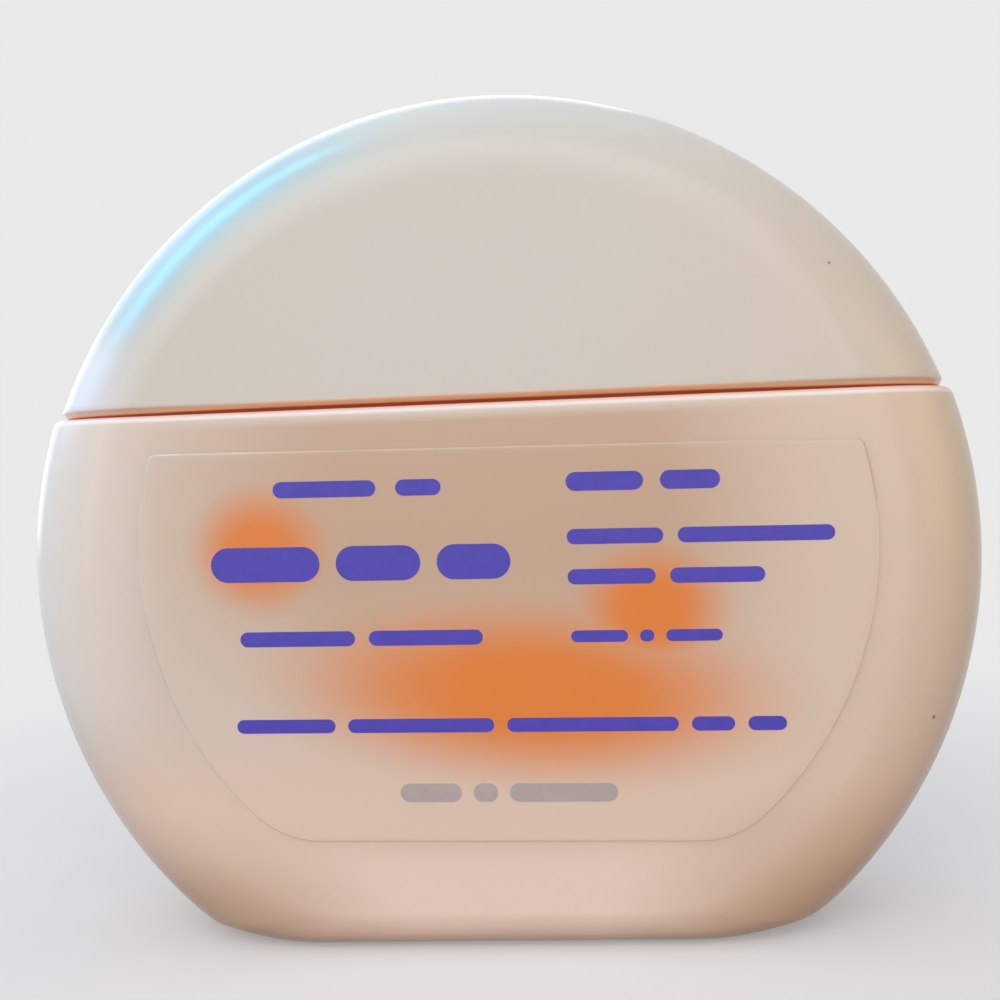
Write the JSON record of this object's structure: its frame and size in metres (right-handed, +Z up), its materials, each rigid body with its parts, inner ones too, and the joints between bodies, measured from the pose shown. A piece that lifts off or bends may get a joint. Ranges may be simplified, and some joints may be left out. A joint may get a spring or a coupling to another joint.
{
  "type": "sunscreen bottle",
  "caption": "Flat round lotion bottle standing on a flat base, with a half-moon screw cap over a threaded neck and pouring plug, and clear labels on both faces.",
  "frame": {"origin": "middle of the bottle's flat base, on the surface it stands on", "axes": "+Z up along the neck, -Y out of the front face, +X to the right seen from the front"},
  "size_m": [0.086, 0.0206, 0.0754],
  "materials": {
    "bottle_plastic": "satin, milky peach-cream",
    "plug_plastic": "natural, waxy",
    "seal_foam": "fine closed-cell foam",
    "sleeve_plastic": "natural, satin",
    "cap_plastic": "satin, bone cream",
    "label_film": "clear film with soft satin face"
  },
  "bodies": {
    "bottle_body": {"bottle": "bottle_plastic", "nozzle_plug": "plug_plastic", "front_label": "label_film", "back_label": "label_film"},
    "seal": {"seal_disc": "seal_foam"},
    "cap": {"cap_sleeve": "sleeve_plastic", "cap_shell": "cap_plastic"}
  },
  "joints": [
    {"name": "cap_rise", "type": "slide", "parent": "bottle_body", "child": "seal", "axis": [0, 0, 1], "range_m": [0, 0.012]},
    {"name": "cap_turn", "type": "hinge", "parent": "seal", "child": "cap", "pos_m": [0, 0, 0.0474], "axis": [0, 0, 1], "range_deg": [0, 720]}
  ],
  "couplings": [
    {"joint": "cap_rise", "follows": "cap_turn", "m_per_rad": 0.00095493}
  ]
}
